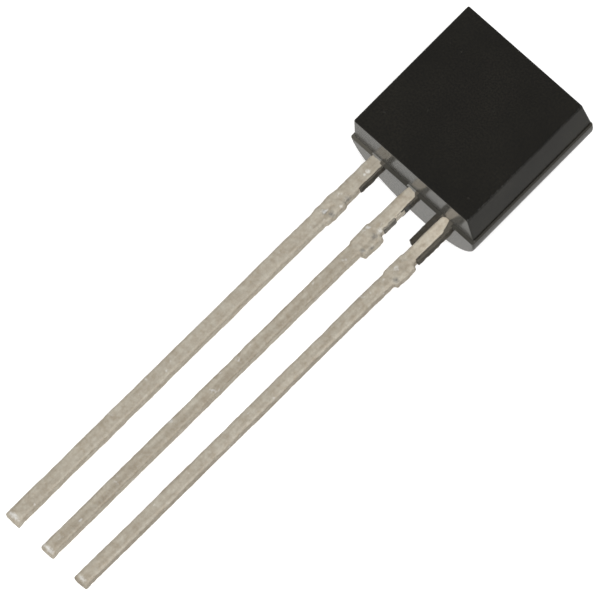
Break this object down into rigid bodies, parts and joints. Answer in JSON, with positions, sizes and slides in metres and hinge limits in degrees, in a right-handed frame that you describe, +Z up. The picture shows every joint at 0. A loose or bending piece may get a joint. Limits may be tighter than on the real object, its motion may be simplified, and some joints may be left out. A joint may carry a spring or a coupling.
{
  "type": "to-92 transistor",
  "caption": "Small through-hole transistor: a black moulded body with a flat front and a round back, on a row of long straight tinned leads, lying loose on its back.",
  "frame": {"origin": "On the table under the middle of the part as it lies on its round back and its lead tips.", "axes": "+X runs across the flat face from the collector lead to the emitter lead, +Y from the lead tips to the body, +Z up from the table."},
  "size_m": [0.0046, 0.0184, 0.0041],
  "materials": {
    "epoxy": "satin black moulded epoxy",
    "tinned_lead": "dull tin plating, slightly mottled",
    "silicon": "polished silicon chip",
    "gold": "bright gold wire"
  },
  "bodies": {
    "root": {"body": "epoxy", "collector_lead": "tinned_lead", "base_lead": "tinned_lead", "emitter_lead": "tinned_lead", "die": "silicon", "base_bond_wire": "gold", "emitter_bond_wire": "gold"}
  },
  "joints": []
}
